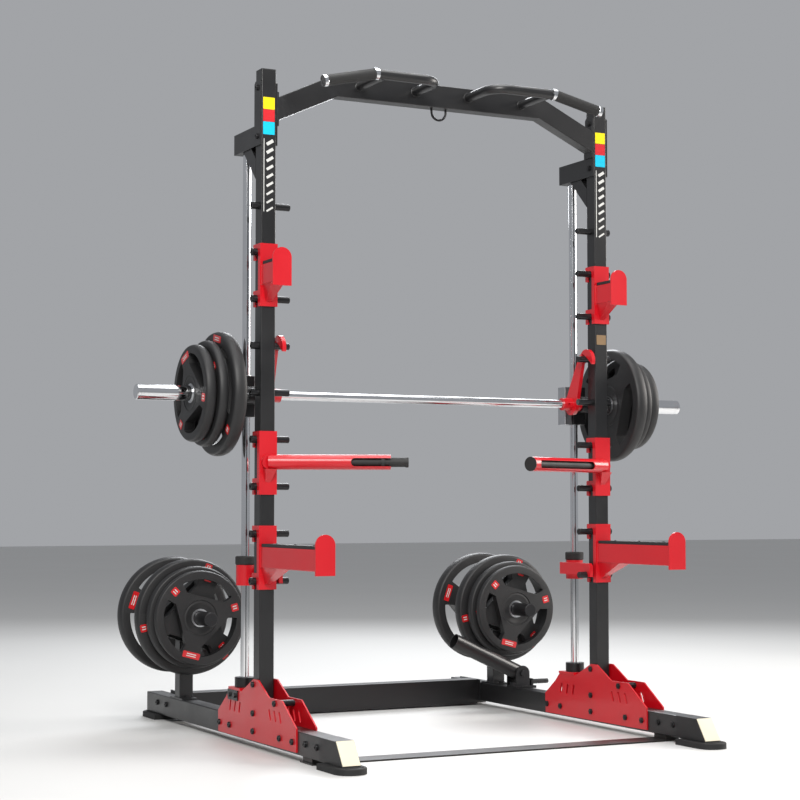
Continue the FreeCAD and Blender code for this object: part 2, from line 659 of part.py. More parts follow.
def landmine_base():
    """Plate on the right-hand beam with a swivel stub and a lock pin lug."""
    top = BEAM_TOP + LAND_FOOT
    plate = box(HALF_SPAN - 44, HALF_SPAN + 42, LAND_Y - 36, LAND_Y + 36, BEAM_TOP, top)
    stub = rod("z", LAND_X, LAND_Y, top, 10, 12)
    lug = box(HALF_SPAN + 34, HALF_SPAN + 42, LAND_Y - 14, LAND_Y + 14, top, top + 24)
    return join(plate, stub, lug).cut(rod("x", HALF_SPAN + 30, LAND_Y, top + 12, 6 + FIT, 20))


def landmine_yoke():
    """Swivelling yoke with two round ears."""
    low = BEAM_TOP + LAND_FOOT + 0.3
    foot_plate = rod("z", LAND_X, LAND_Y, low, 31, 12)
    pieces = [foot_plate.cut(rod("z", LAND_X, LAND_Y, low - 5, 10 + FIT, 30))]
    for y0 in (LAND_Y - 36, LAND_Y + 30):
        ear = join(box(LAND_X - 28, LAND_X + 28, y0, y0 + 6, low, LAND_Z), rod("y", LAND_X, y0, LAND_Z, 28, 6))
        pieces.append(ear)
    bridge = box(LAND_X - 9, LAND_X + 9, LAND_Y - 36, LAND_Y + 36, low, low + 6)
    whole = join(*pieces, bridge.cut(rod("z", LAND_X, LAND_Y, low - 5, 10 + FIT, 30)))
    return whole.cut(rod("y", LAND_X, LAND_Y - 50, LAND_Z, 8, 100))


def landmine_tube():
    """Open tube that takes the end of a bar, tilting on the yoke's pin."""
    tilt = math.radians(LAND_TILT)
    way = V(-math.cos(tilt), 0, math.sin(tilt))
    start = V(LAND_X, LAND_Y, LAND_Z).sub(V(way).multiply(18))
    outer = Part.makeCylinder(28, 317, start, way)
    inner = Part.makeCylinder(25, 317, start, way)
    return outer.cut([inner, rod("y", LAND_X, LAND_Y - 40, LAND_Z, 8 + FIT, 80)])


def landmine_bolt():
    """Pivot bolt across the yoke."""
    shank = rod("y", LAND_X, LAND_Y - 41, LAND_Z, 8, 82)
    heads = [rod("y", LAND_X, y, LAND_Z, 12, 7) for y in (LAND_Y - 43, LAND_Y + 36)]
    return join(shank, *heads)


def landmine_lock():
    """Pull pin beside the landmine."""
    z = BEAM_TOP + LAND_FOOT + 12
    shank = rod("x", HALF_SPAN + 32, LAND_Y, z, 6, 14)
    knob = rod("x", HALF_SPAN + 42.5, LAND_Y, z, 9, 70)
    knob = knob.makeFillet(2.5, [e for e in knob.Edges if e.BoundBox.XLength < 0.01])
    return join(shank, knob.cut(pipe("x", HALF_SPAN + 66, LAND_Y, z, 20, 7.5, 5)))


def frame_bolts():
    """Every fixed bolt of the right-hand side, with the spacers on them."""
    out, inner = HALF_SPAN + GUSSET_OUT, HALF_SPAN - GUSSET_OUT
    bolts = [bolt_x(inner, out, y, z) for y, z in BEAM_BOLTS + UPRIGHT_BOLTS + [OPEN_BOLT]]
    bolts += [bolt_x(HALF_SPAN - BEAM_W / 2, HALF_SPAN + BEAM_W / 2, y, z) for y, z in SHOE_BOLTS]
    bolts += [bolt_x(HALF_SPAN - BEAM_W / 2 - PLATE, HALF_SPAN + BEAM_W / 2, y, z) for y, z in REAR_BOLTS]
    bolts += [bolt_x(HALF_SPAN - TUBE / 2 - PLATE, HALF_SPAN + TUBE / 2 + PLATE, y, z) for y, z in TOP_BOLTS]
    for y, z in UPRIGHT_BOLTS:
        for x0 in (HALF_SPAN - BEAM_W / 2, HALF_SPAN + TUBE / 2):
            bolts.append(pipe("x", x0, y, z, 12, 6.2, (BEAM_W - TUBE) / 2))
    bolts.append(pipe("x", HALF_SPAN - BEAM_W / 2, *OPEN_BOLT, 10, 6.2, BEAM_W))
    for y in POST_BOLTS:
        shank = rod("z", HALF_SPAN, y, BEAM_TOP - 12, 6, 18)
        bolts.append(join(shank, rod("z", HALF_SPAN, y, BEAM_TOP + 5, 9.5, 7)))
    return bolts


def build_frame():
    """Fixed parts."""
    half = BEAM_W / 2
    save_both("base_beams", base_beam())
    save("rear_cross_beam", rear_cross_beam())
    save("floor_strip", floor_strip(), strip_spacer(), mirrored(strip_spacer()))
    save_both("front_shoes", front_shoe())
    save_both("nose_plates", nose_plate())
    save_both("rubber_feet", foot(FOOT_FRONT + FOOT_R, -1), foot(FOOT_REAR - FOOT_R, 1))
    save_pair("upright", upright())
    caps = [tube_cap(HALF_SPAN - 25, HALF_SPAN + 25, -25, 25, HEIGHT, HEIGHT + 3),
            tube_cap(HALF_SPAN - half, HALF_SPAN + half, BEAM_REAR, BEAM_REAR + 3, BEAM_LOW, BEAM_TOP),
            tube_cap(HALF_SPAN - 25, HALF_SPAN + 25, STORE_Y - 25, STORE_Y + 25, STORE_Z + 50, STORE_Z + 53)]
    save_both("tube_caps", *caps)
    plates = gusset_pair()
    save("gussets_left", *[mirrored(p) for p in plates])
    save("gussets_right", *plates)
    save_both("frame_bolts", *frame_bolts())
    save_both("rod_seats", rod_seat())
    save_both("rod_clamps", *rod_clamp())
    save_both("top_brackets", top_bracket())
    save_both("guide_rods", guide_rod())
    save_both("pegs", *[peg(z) for z in peg_heights()])
    save("pull_up_beam", pull_up_beam())
    save_both("pull_up_handles", pull_up_handle())
    save_both("pull_up_grips", pull_up_grip())
    save_both("grip_rings", *grip_rings())
    save("anchor_loop", anchor_loop())
    save_both("storage_posts", storage_post())
    save_both("storage_pegs", storage_peg())


def build_bar():
    """The guided bar and what it carries."""
    save_both("carriages", carriage())
    save_both("carriage_bearings", bearing(BAR_Z - 68), bearing(BAR_Z + 9))
    save_both("bar_housings", bar_housing())
    save("bar_shaft", bar_shaft())
    save_both("bar_hooks", bar_hook())
    save_both("hook_collars", *hook_collar())
    save_pair("sleeve", sleeve())
    plates = [bar_plate(*size) for size in BAR_PLATES]
    save("bar_plates_left", *[mirrored(p) for p in plates])
    save("bar_plates_right", *plates)
    save_pair("stop", stop())
    save_pair("stop_bumper", stop_bumper())


def build_attachments():
    """Lift-off brackets, stored plates and the landmine."""
    save_pair("j_cup", rest(PEG_LOW + 6 * PEG_PITCH, 1467, 1532, 133, 74))
    save_pair("j_cup_pad", rest_pad(1532, 133))
    save("dip_handle_left", mirrored(dip_handle(*DIP_LEFT)))
    save("dip_handle_right", dip_handle(*DIP_RIGHT))
    save("dip_grip_left", mirrored(dip_grip(*DIP_LEFT[:2], 16.5)))
    save("dip_grip_right", dip_grip(*DIP_RIGHT[:2], DIP_R))
    save_pair("spotter_arm", rest(PEG_LOW, 568, 634, 465, 134))
    save_pair("spotter_pad", rest_pad(634, 465))
    plates = [stored_plate(*size) for size in STORED_PLATES]
    save("stored_plates_left", *[mirrored(p) for p in plates])
    save("stored_plates_right", *plates)
    save_pair("rear_plate", stored_plate(*REAR_PLATE))
    save("landmine_base", landmine_base())
    save("landmine_yoke", landmine_yoke())
    save("landmine_bolt", landmine_bolt())
    save("landmine_tube", landmine_tube())
    save("landmine_lock", landmine_lock())


os.makedirs("parts", exist_ok=True)
build_frame()
build_bar()
build_attachments()
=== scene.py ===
"""Looks of the half rack: powder coat, chrome, rubber plates, labels and small fittings."""

import json
import math

import bmesh
import bpy
from mathutils import Matrix, Vector


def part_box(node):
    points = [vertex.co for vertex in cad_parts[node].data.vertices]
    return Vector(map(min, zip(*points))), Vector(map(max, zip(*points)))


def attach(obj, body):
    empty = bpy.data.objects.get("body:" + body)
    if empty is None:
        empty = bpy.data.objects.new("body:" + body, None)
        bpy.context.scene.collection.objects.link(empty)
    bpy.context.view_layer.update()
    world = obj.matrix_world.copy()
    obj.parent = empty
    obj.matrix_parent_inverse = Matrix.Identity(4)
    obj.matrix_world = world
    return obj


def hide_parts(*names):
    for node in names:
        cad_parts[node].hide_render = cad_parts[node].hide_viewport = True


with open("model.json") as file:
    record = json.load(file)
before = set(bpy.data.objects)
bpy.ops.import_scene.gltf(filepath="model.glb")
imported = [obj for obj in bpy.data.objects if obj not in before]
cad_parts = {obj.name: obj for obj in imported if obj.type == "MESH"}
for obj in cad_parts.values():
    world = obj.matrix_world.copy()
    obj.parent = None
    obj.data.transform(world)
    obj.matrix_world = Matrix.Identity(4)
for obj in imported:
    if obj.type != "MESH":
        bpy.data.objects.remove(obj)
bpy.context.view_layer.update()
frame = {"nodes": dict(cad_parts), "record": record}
record = frame["record"]
scene = bpy.context.scene

BLACK = (0.009, 0.009, 0.010)
RED = (0.58, 0.002, 0.010)
STEEL = (0.56, 0.57, 0.59)


# ---- shader groups ----

def new_group(name, inputs, outputs):
    """An empty shader group with float or colour sockets."""
    group = bpy.data.node_groups.new(name, "ShaderNodeTree")
    for label, kind, value in inputs:
        socket = group.interface.new_socket(label, in_out="INPUT", socket_type=kind)
        socket.default_value = value
    for label, kind in outputs:
        group.interface.new_socket(label, in_out="OUTPUT", socket_type=kind)
    return group, group.nodes.new("NodeGroupInput"), group.nodes.new("NodeGroupOutput")


def add(tree, kind, **values):
    """A node with its properties set."""
    node = tree.nodes.new(kind)
    for key, value in values.items():
        setattr(node, key, value)
    return node


def make_edge_wear():
    """Mask that is 1 on outside edges, broken up by noise."""
    group, start, end = new_group(
        "edge wear", [("Width", "NodeSocketFloat", 0.0015), ("Amount", "NodeSocketFloat", 0.5)],
        [("Mask", "NodeSocketFloat")])
    links = group.links
    bevel = add(group, "ShaderNodeBevel", samples=4)
    links.new(start.outputs["Width"], bevel.inputs["Radius"])
    normal = add(group, "ShaderNodeNewGeometry")
    dot = add(group, "ShaderNodeVectorMath", operation="DOT_PRODUCT")
    links.new(bevel.outputs["Normal"], dot.inputs[0])
    links.new(normal.outputs["Normal"], dot.inputs[1])
    turn = add(group, "ShaderNodeMapRange")
    turn.inputs["From Min"].default_value = 0.97
    turn.inputs["From Max"].default_value = 0.80
    links.new(dot.outputs["Value"], turn.inputs["Value"])
    place = add(group, "ShaderNodeTexCoord")
    noise = add(group, "ShaderNodeTexNoise")
    noise.inputs["Scale"].default_value = 60
    noise.inputs["Detail"].default_value = 4
    links.new(place.outputs["Object"], noise.inputs["Vector"])
    breaks = add(group, "ShaderNodeMapRange")
    breaks.inputs["From Min"].default_value = 0.42
    breaks.inputs["From Max"].default_value = 0.62
    links.new(noise.outputs["Fac"], breaks.inputs["Value"])
    both = add(group, "ShaderNodeMath", operation="MULTIPLY")
    links.new(turn.outputs["Result"], both.inputs[0])
    links.new(breaks.outputs["Result"], both.inputs[1])
    scaled = add(group, "ShaderNodeMath", operation="MULTIPLY")
    links.new(both.outputs[0], scaled.inputs[0])
    links.new(start.outputs["Amount"], scaled.inputs[1])
    links.new(scaled.outputs[0], end.inputs["Mask"])
    return group


def make_coat_grain():
    """Height and roughness of a sprayed or moulded skin: fine grain over slow patches."""
    group, start, end = new_group(
        "coat grain",
        [("Grain", "NodeSocketFloat", 900.0), ("Patches", "NodeSocketFloat", 6.0),
         ("Rough Low", "NodeSocketFloat", 0.35), ("Rough High", "NodeSocketFloat", 0.5)],
        [("Height", "NodeSocketFloat"), ("Roughness", "NodeSocketFloat"), ("Patch", "NodeSocketFloat")])
    links = group.links
    place = add(group, "ShaderNodeTexCoord")
    grain = add(group, "ShaderNodeTexNoise")
    grain.inputs["Detail"].default_value = 3
    links.new(place.outputs["Object"], grain.inputs["Vector"])
    links.new(start.outputs["Grain"], grain.inputs["Scale"])
    patch = add(group, "ShaderNodeTexNoise")
    patch.inputs["Detail"].default_value = 5
    links.new(place.outputs["Object"], patch.inputs["Vector"])
    links.new(start.outputs["Patches"], patch.inputs["Scale"])
    rough = add(group, "ShaderNodeMapRange")
    rough.inputs["From Min"].default_value = 0.3
    rough.inputs["From Max"].default_value = 0.7
    links.new(patch.outputs["Fac"], rough.inputs["Value"])
    links.new(start.outputs["Rough Low"], rough.inputs["To Min"])
    links.new(start.outputs["Rough High"], rough.inputs["To Max"])
    links.new(grain.outputs["Fac"], end.inputs["Height"])
    links.new(rough.outputs["Result"], end.inputs["Roughness"])
    links.new(patch.outputs["Fac"], end.inputs["Patch"])
    return group


def make_turned_lines():
    """Fine stretched lines of ground or drawn metal, along one axis."""
    group, start, end = new_group(
        "drawn lines", [("Stretch", "NodeSocketVector", (1, 1, 1)), ("Scale", "NodeSocketFloat", 400.0)],
        [("Height", "NodeSocketFloat")])
    links = group.links
    place = add(group, "ShaderNodeTexCoord")
    mapping = add(group, "ShaderNodeMapping")
    links.new(place.outputs["Object"], mapping.inputs["Vector"])
    links.new(start.outputs["Stretch"], mapping.inputs["Scale"])
    noise = add(group, "ShaderNodeTexNoise")
    noise.inputs["Detail"].default_value = 4
    links.new(mapping.outputs["Vector"], noise.inputs["Vector"])
    links.new(start.outputs["Scale"], noise.inputs["Scale"])
    links.new(noise.outputs["Fac"], end.inputs["Height"])
    return group


EDGE_WEAR = make_edge_wear()
COAT_GRAIN = make_coat_grain()
DRAWN_LINES = make_turned_lines()


def place_group(tree, group, **values):
    """A shader group placed in a material with its own values."""
    node = add(tree, "ShaderNodeGroup", node_tree=group)
    for key, value in values.items():
        node.inputs[key.replace("_", " ")].default_value = value
    return node


def start_material(name):
    """A material with nodes and its Principled shader."""
    material = bpy.data.materials.new(name)
    material.use_nodes = True
    return material, material.node_tree, material.node_tree.nodes["Principled BSDF"]


def coated(name, colour, worn, rough=(0.35, 0.5), grain=900.0, depth=0.0002, metallic=0.0, coat=0.0,
           wear=0.5, patches=6.0, shade=0.75, width=0.0015):
    """Painted, moulded or rubber finish with grain, patchy gloss and rubbed edges."""
    material, tree, shader = start_material(name)
    grain_node = place_group(tree, COAT_GRAIN, Grain=grain, Patches=patches,
                             Rough_Low=rough[0], Rough_High=rough[1])
    edge = place_group(tree, EDGE_WEAR, Width=width, Amount=wear)
    tone = add(tree, "ShaderNodeMix", data_type="RGBA")
    tone.inputs[6].default_value = (*[c * shade for c in colour], 1)
    tone.inputs[7].default_value = (*colour, 1)
    tree.links.new(grain_node.outputs["Patch"], tone.inputs[0])
    rub = add(tree, "ShaderNodeMix", data_type="RGBA")
    rub.inputs[7].default_value = (*worn, 1)
    tree.links.new(tone.outputs[2], rub.inputs[6])
    tree.links.new(edge.outputs["Mask"], rub.inputs[0])
    tree.links.new(rub.outputs[2], shader.inputs["Base Color"])
    tree.links.new(grain_node.outputs["Roughness"], shader.inputs["Roughness"])
    bump = add(tree, "ShaderNodeBump")
    bump.inputs["Strength"].default_value = 0.5
    bump.inputs["Distance"].default_value = depth
    tree.links.new(grain_node.outputs["Height"], bump.inputs["Height"])
    tree.links.new(bump.outputs["Normal"], shader.inputs["Normal"])
    shader.inputs["Metallic"].default_value = metallic
    shader.inputs["Coat Weight"].default_value = coat
    shader.inputs["Coat Roughness"].default_value = 0.12
    return material


def bright(name, colour, rough=(0.06, 0.16), stretch=(1, 1, 1), lines=400.0, depth=0.00003):
    """Bare bright metal with fine drawn lines and faint smears."""
    material, tree, shader = start_material(name)
    grain_node = place_group(tree, COAT_GRAIN, Grain=lines, Patches=9.0,
                             Rough_Low=rough[0], Rough_High=rough[1])
    line_node = place_group(tree, DRAWN_LINES, Stretch=stretch, Scale=lines)
    bump = add(tree, "ShaderNodeBump")
    bump.inputs["Strength"].default_value = 0.4
    bump.inputs["Distance"].default_value = depth
    tree.links.new(line_node.outputs["Height"], bump.inputs["Height"])
    tree.links.new(bump.outputs["Normal"], shader.inputs["Normal"])
    tone = add(tree, "ShaderNodeMix", data_type="RGBA")
    tone.inputs[6].default_value = (*[c * 0.82 for c in colour], 1)
    tone.inputs[7].default_value = (*colour, 1)
    tree.links.new(grain_node.outputs["Patch"], tone.inputs[0])
    tree.links.new(tone.outputs[2], shader.inputs["Base Color"])
    tree.links.new(grain_node.outputs["Roughness"], shader.inputs["Roughness"])
    shader.inputs["Metallic"].default_value = 1.0
    return material


FINISH = {
    "frame_paint": coated("black powder coat", BLACK, (0.10, 0.10, 0.10), (0.32, 0.46), depth=0.00025, coat=0.15),
    "cast_shoe": coated("black shoe paint", BLACK, (0.09, 0.09, 0.09), (0.35, 0.5), grain=500, depth=0.0004),
    "pale_plate": coated("pale face", (0.86, 0.80, 0.62), (0.86, 0.82, 0.70), (0.18, 0.3),
                         grain=300, wear=0.3, coat=0.4),
    "rubber": coated("foot rubber", (0.012, 0.012, 0.012), (0.03, 0.03, 0.03), (0.6, 0.8),
                     grain=700, depth=0.0006),
    "bare_steel": coated("dark strip", (0.035, 0.033, 0.032), (0.14, 0.12, 0.11), (0.3, 0.5),
                         grain=400, metallic=0.6),
    "cap_plastic": coated("moulded cap", (0.015, 0.015, 0.016), (0.04, 0.04, 0.04), (0.45, 0.6), grain=1200),
    "black_oxide": coated("black oxide", (0.022, 0.022, 0.024), (0.16, 0.15, 0.14), (0.25, 0.4),
                          metallic=0.5, wear=0.6),
    "red_paint": coated("red powder coat", RED, (0.62, 0.08, 0.07), (0.30, 0.42),
                        depth=0.00022, coat=0.3, wear=0.35, shade=0.86),
    "hook_red": coated("hook red", RED, (0.6, 0.16, 0.14), (0.24, 0.36),
                       depth=0.0002, coat=0.5, wear=0.5, shade=0.86),
    "chrome": bright("polished chrome", (0.78, 0.79, 0.81), (0.05, 0.12), (1, 1, 1), 60.0, 0.00001),
    "grip_rubber": coated("grip rubber", (0.014, 0.014, 0.014), (0.03, 0.03, 0.03), (0.5, 0.7),
                          grain=450, depth=0.0008),
    "loop_steel": bright("zinc plate", (0.55, 0.56, 0.58), (0.25, 0.4), (1, 1, 1), 300.0),
    "block_aluminium": bright("milled aluminium", STEEL, (0.25, 0.4), (1, 1, 0.05), 500.0, 0.0001),
    "plate_rubber": coated("plate rubber", (0.013, 0.013, 0.014), (0.04, 0.038, 0.035), (0.42, 0.58),
                           grain=650, depth=0.0004, wear=0.4, width=0.003),
    "wear_pad": coated("wear strip", (0.014, 0.014, 0.015), (0.04, 0.04, 0.04), (0.5, 0.65),
                       grain=350, depth=0.0003),
    "landmine_black": coated("landmine black", BLACK, (0.13, 0.12, 0.12), (0.28, 0.42), coat=0.15),
}

for row in record["subparts"]:
    node = frame["nodes"][row["node"]]
    node.data.materials.clear()
    node.data.materials.append(FINISH[row["material_slot"]])


# ---- building pieces ----

def finish_piece(name, mesh, material, body, bevel=0.0, smooth=40.0, segments=2):
    """Makes a piece of a bmesh, in place in its mesh, and lets it ride on a body."""
    bmesh.ops.recalc_face_normals(mesh, faces=mesh.faces)
    data = bpy.data.meshes.new(name)
    mesh.to_mesh(data)
    mesh.free()
    piece = bpy.data.objects.new(name, data)
    scene.collection.objects.link(piece)
    data.materials.append(material)
    for face in data.polygons:
        face.use_smooth = True
    data.set_sharp_from_angle(angle=math.radians(smooth))
    if bevel:
        rounding = piece.modifiers.new("rounded edges", "BEVEL")
        rounding.width = bevel
        rounding.segments = segments
        rounding.limit_method = "ANGLE"
        rounding.angle_limit = math.radians(35)
        rounding.harden_normals = True
    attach(piece, body)
    return piece


def turned(profile, steps=96):
    """Closed ring or knob: a profile of (height, radius) spun round Z."""
    mesh = bmesh.new()
    points = [mesh.verts.new((radius, 0, height)) for height, radius in profile]
    edges = [mesh.edges.new(pair) for pair in zip(points, points[1:] + points[:1])]
    bmesh.ops.spin(mesh, geom=points + edges, axis=(0, 0, 1), cent=(0, 0, 0), angle=math.tau, steps=steps,
                   use_merge=True)
    bmesh.ops.remove_doubles(mesh, verts=mesh.verts, dist=1e-6)
    return mesh


def block(size, bevel=0.0, segments=2):
    """Rounded block centred on the origin."""
    mesh = bmesh.new()
    bmesh.ops.create_cube(mesh, size=1)
    bmesh.ops.scale(mesh, vec=size, verts=mesh.verts)
    if bevel:
        bmesh.ops.bevel(mesh, geom=mesh.edges[:], offset=bevel, offset_type="OFFSET", segments=segments, profile=0.5,
                        affect="EDGES", clamp_overlap=True, material=-1)
    return mesh


def label_patch(width, height, corner, depth):
    """Thin patch in the XY plane with rounded corners."""
    mesh = bmesh.new()
    bmesh.ops.create_grid(mesh, x_segments=1, y_segments=1, size=0.5)
    bmesh.ops.scale(mesh, vec=(width, height, 1), verts=mesh.verts)
    bmesh.ops.bevel(mesh, geom=mesh.verts[:], offset=corner, offset_type="OFFSET", segments=4, profile=0.5,
                    affect="VERTICES", clamp_overlap=True, material=-1)
    grown = bmesh.ops.extrude_face_region(mesh, geom=mesh.faces[:])
    raised = [v for v in grown["geom"] if isinstance(v, bmesh.types.BMVert)]
    bmesh.ops.translate(mesh, vec=(0, 0, depth), verts=raised)
    return mesh


def merge_in(target, source):
    """Adds one bmesh to another."""
    held = bpy.data.meshes.new("held")
    source.to_mesh(held)
    source.free()
    target.from_mesh(held)
    bpy.data.meshes.remove(held)
    return target


def moved(mesh, matrix):
    """The same bmesh after a transform."""
    bmesh.ops.transform(mesh, matrix=matrix, verts=mesh.verts)
    return mesh


PATCH_RED = coated("label red", (0.62, 0.01, 0.015), (0.62, 0.01, 0.015), (0.3, 0.4),
                   grain=300, wear=0.0, coat=0.3)
PATCH_PALE = coated("label pale", (0.66, 0.66, 0.64), (0.66, 0.66, 0.64), (0.35, 0.45), grain=300, wear=0.0)
WELD = coated("painted weld", BLACK, (0.12, 0.12, 0.12), (0.3, 0.45),
              grain=260, depth=0.0009, coat=0.15, wear=0.3)
WELD_RED = coated("painted red weld", RED, (0.62, 0.1, 0.09), (0.28, 0.4),
                  grain=260, depth=0.0009, coat=0.5, wear=0.3)
SCREW = coated("screw black", (0.03, 0.03, 0.032), (0.3, 0.29, 0.28), (0.22, 0.36), metallic=0.8, wear=0.8)
STRIPE = {
    "yellow": coated("yellow square", (0.90, 0.72, 0.0), (0.8, 0.65, 0.1), (0.3, 0.4),
                     wear=0.1, coat=0.3, shade=0.95),
    "crimson": coated("crimson square", (0.60, 0.012, 0.02), (0.6, 0.05, 0.05), (0.3, 0.4),
                      wear=0.1, coat=0.3, shade=0.95),
    "cyan": coated("cyan square", (0.0, 0.52, 0.75), (0.1, 0.5, 0.6), (0.3, 0.4),
                   wear=0.1, coat=0.3, shade=0.95),
}
SIDES = (("left", -1), ("right", 1))
POST_X = 0.63              # an upright's middle, out from the rack's middle
TUBE_HALF = 0.025          # half of the 50 mm square tube


def side_name(stem, side):
    """Node or body name on one side."""
    return stem + "_" + side


# ---- weight plates ----

# Radius, start beyond the first plate's near face, thickness, turn, the patch at each hub corner, and how
# far out the patches lie.
BAR_PLATES = ((0.200, 0.0, 0.043, -72, ("bar", "square", "square"), 0.89),
              (0.170, 0.051, 0.031, 5, ("bar", "square", "square"), 0.8),
              (0.156, 0.087, 0.034, -39, ("bar", "square", "square"), 0.8))
STORED_PLATES = ((0.163, 0.0, 0.026, -45, ("square", "square", "bar"), 0.8),
                 (0.177, 0.036, 0.034, 13, ("square", "bar", "square"), 0.8),
                 (0.202, 0.081, 0.044, 11, ("square", "square", "square"), 0.89))
REAR_PLATE = (0.205, 0.050)
RIM_START = 0.82           # where the rim starts, as a share of the plate's radius
HUB_SIDE = 0.45            # how far out a straight side of the hub lies
OPENING_SPREAD = math.radians(44)
CUTTER_STEPS = 157         # unlike the plate's own 180, so that no edges coincide


def opening_cutter(radius, thickness, turn):
    """Prism for one hand opening, between the hub's straight side and the rim."""
    mesh = bmesh.new()
    bmesh.ops.create_circle(mesh, cap_ends=True, segments=CUTTER_STEPS, radius=radius * RIM_START)
    across, along = math.sin(OPENING_SPREAD), math.cos(OPENING_SPREAD)
    cuts = (((radius * HUB_SIDE, 0, 0), (-1, 0, 0)),
            ((0, 0, 0), (-across, along, 0)),
            ((0, 0, 0), (-across, -along, 0)))
    for place, normal in cuts:
        bmesh.ops.bisect_plane(mesh, geom=mesh.verts[:] + mesh.edges[:] + mesh.faces[:], plane_co=place,
                               plane_no=normal, clear_outer=True, clear_inner=False)
    sharp = [v for v in mesh.verts if v.calc_edge_angle(0) > 0.35]
    bmesh.ops.bevel(mesh, geom=sharp, offset=radius * 0.07, offset_type="OFFSET", segments=6, profile=0.5,
                    affect="VERTICES", clamp_overlap=True, material=-1)
    grown = bmesh.ops.extrude_face_region(mesh, geom=mesh.faces[:])
    bmesh.ops.translate(mesh, vec=(0, 0, thickness * 2),
                        verts=[v for v in grown["geom"] if isinstance(v, bmesh.types.BMVert)])
    bmesh.ops.recalc_face_normals(mesh, faces=mesh.faces)
    return moved(mesh, Matrix.Rotation(turn, 4, "Z") @ Matrix.Translation((0, 0, -thickness / 2)))


def plate_profile(radius, thickness):
    """Half section of a plate: raised rim with round shoulders, sunk ring by the hub."""
    half = thickness / 2
    rounding = thickness * 0.24
    profile = [(-half + 0.0045, 0.0295), (-half + 0.0045, radius * 0.27),
               (-half + 0.0012, radius * 0.31), (-half + 0.0012, radius * 0.34),
               (-half + 0.0022, radius * 0.35), (-half + 0.0022, radius * 0.37),
               (-half, radius * 0.38), (-half, radius - rounding)]
    for i in range(1, 12):
        angle = math.pi * i / 12 - math.pi / 2
        profile.append((half * math.sin(angle), radius - rounding + rounding * math.cos(angle)))
    profile += [(-h, r) for h, r in reversed(profile[:8])]
    return profile


def carve(mesh, cutter):
    """A bmesh less another, by an exact boolean."""
    objects = []
    for source in (mesh, cutter):
        data = bpy.data.meshes.new("carving")
        source.to_mesh(data)
        source.free()
        objects.append(bpy.data.objects.new("carving", data))
        scene.collection.objects.link(objects[-1])
    body, tool = objects
    trim = body.modifiers.new("carve", "BOOLEAN")
    trim.operation = "DIFFERENCE"
    trim.solver = "EXACT"
    trim.object = tool
    result = bpy.data.meshes.new_from_object(body.evaluated_get(bpy.context.evaluated_depsgraph_get()))
    carved = bmesh.new()
    carved.from_mesh(result)
    for item in objects:
        bpy.data.objects.remove(item)
    return carved


def plate_body(radius, thickness):
    """Plate round the Z axis with its three openings."""
    cutters = bmesh.new()
    for i in range(3):
        merge_in(cutters, opening_cutter(radius, thickness, math.radians(120 * i)))
    return carve(turned(plate_profile(radius, thickness), 180), cutters)


def plate_hub(thickness):
    """Bright ring pressed into the bore."""
    half = thickness / 2 - 0.0015
    profile = [(-half, 0.0255), (-half, 0.0312), (-half + 0.0025, 0.0318), (half - 0.0025, 0.0318),
               (half, 0.0312), (half, 0.0255)]
    return turned(profile, 72)


PATCH_SIZE = {"bar": (0.063, 0.022), "square": (0.026, 0.026)}


def plate_badges(reach, thickness, shape):
    """Red patches by the hub's corners and the pale marks on them, on one face."""
    red, pale = bmesh.new(), bmesh.new()
    for i, kind in enumerate(shape):
        angle = math.radians(120 * i + 60)
        out = Matrix.Rotation(angle, 4, "Z") @ Matrix.Translation((reach, 0, thickness / 2 - 0.0002))
        width, size = PATCH_SIZE[kind]
        lean = math.radians(90 if kind == "bar" else 0)
        place = out @ Matrix.Rotation(lean, 4, "Z")
        merge_in(red, moved(label_patch(width, size, size * 0.16, 0.0011), place))
        for shift in (-0.16, 0.16):
            inner = label_patch(width * 0.56, size * 0.14, size * 0.04, 0.0004)
            merge_in(pale, moved(inner, place @ Matrix.Translation((0, size * shift, 0.0011))))
    return red, pale


def hang_plate(name, body, radius, thickness, middle, facing, turn, shape, reach=0.8):
    """One plate with its hub ring and badges, on a sleeve or a storage peg."""
    place = Matrix.Translation(middle) @ facing @ Matrix.Rotation(math.radians(turn), 4, "Z")
    plate = moved(plate_body(radius, thickness), place)
    piece = finish_piece(name, plate, FINISH["plate_rubber"], body, bevel=0.0022, segments=3)
    finish_piece(name + "_hub", moved(plate_hub(thickness), place), FINISH["loop_steel"], body)
    red, pale = plate_badges(radius * reach, thickness, shape)
    finish_piece(name + "_patches", moved(red, place), PATCH_RED, body)
    finish_piece(name + "_marks", moved(pale, place), PATCH_PALE, body)
    return piece


def hang_set(stem, node, body, plates, middle_of, facing):
    """A row of plates from a table, in place of a node's own."""
    for i, (radius, start, thickness, turn, shape, reach) in enumerate(plates):
        middle = middle_of(start + thickness / 2)
        hang_plate("%s_%d" % (stem, i + 1), body, radius, thickness, middle, facing, turn, shape,
                                 reach)
    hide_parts(node)


